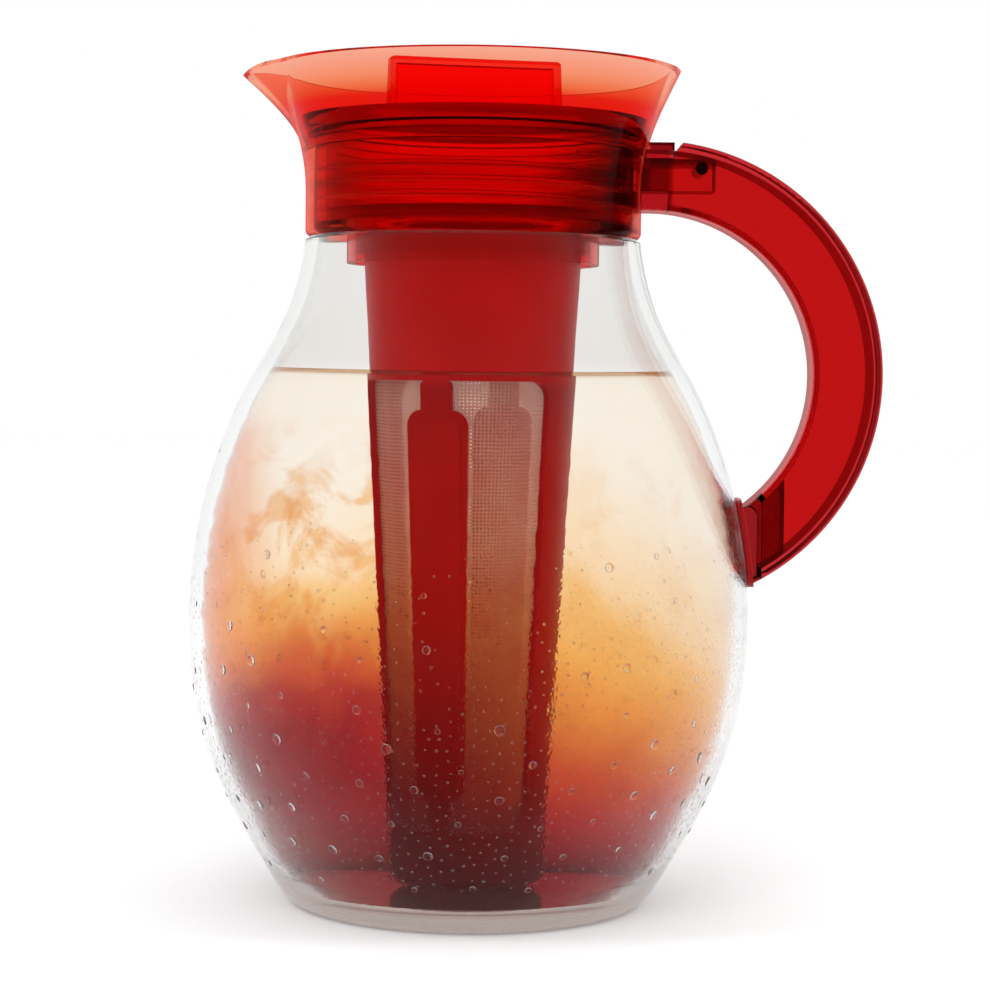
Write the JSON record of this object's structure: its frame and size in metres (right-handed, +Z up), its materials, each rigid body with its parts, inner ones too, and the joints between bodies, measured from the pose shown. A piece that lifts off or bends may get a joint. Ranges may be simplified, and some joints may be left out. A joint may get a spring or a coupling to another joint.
{
  "type": "iced tea maker",
  "caption": "Clear belly-shaped jug with a red pouring collar, C-shaped handle, threaded fin lid and a hanging tea infuser with mesh windows.",
  "frame": {"origin": "centre of the flat base, on the surface that the jug stands on", "axes": "+Z up along the jug's axis, +X towards the handle, -X towards the spout"},
  "size_m": [0.2178, 0.1772, 0.267],
  "materials": {
    "clear_plastic": "clear moulded plastic, polished",
    "red_clear_plastic": "see-through red moulded plastic, polished",
    "red_plastic": "solid red moulded plastic, satin",
    "mesh": "fine woven nylon mesh",
    "silicone": "moulded silicone"
  },
  "bodies": {
    "pitcher": {"pitcher_body": "clear_plastic", "collar": "red_clear_plastic", "collar_gasket": "silicone", "handle_channel": "red_clear_plastic", "handle_cover": "red_clear_plastic", "handle_pin": "red_plastic", "handle_foot": "red_clear_plastic"},
    "seal": {"lid_seal": "silicone"},
    "lid": {"lid_plug": "red_clear_plastic", "lid_top": "red_clear_plastic"},
    "infuser": {"infuser_frame": "red_plastic", "infuser_mesh": "mesh"},
    "infuser_end": {"infuser_cap": "red_plastic"}
  },
  "joints": [
    {"name": "lid_lift", "type": "slide", "parent": "pitcher", "child": "seal", "axis": [0, 0, 1], "range_m": [0, 0.27]},
    {"name": "lid_turn", "type": "hinge", "parent": "seal", "child": "lid", "pos_m": [0, 0, 0.25], "axis": [0, 0, 1], "range_deg": [0, 270]},
    {"name": "infuser_turn", "type": "hinge", "parent": "lid", "child": "infuser", "pos_m": [0, 0, 0.21], "axis": [0, 0, 1], "range_deg": [-180, 0]},
    {"name": "infuser_cap_turn", "type": "hinge", "parent": "infuser", "child": "infuser_end", "pos_m": [0, 0, 0.02], "axis": [0, 0, 1], "range_deg": [-180, 0]}
  ]
}
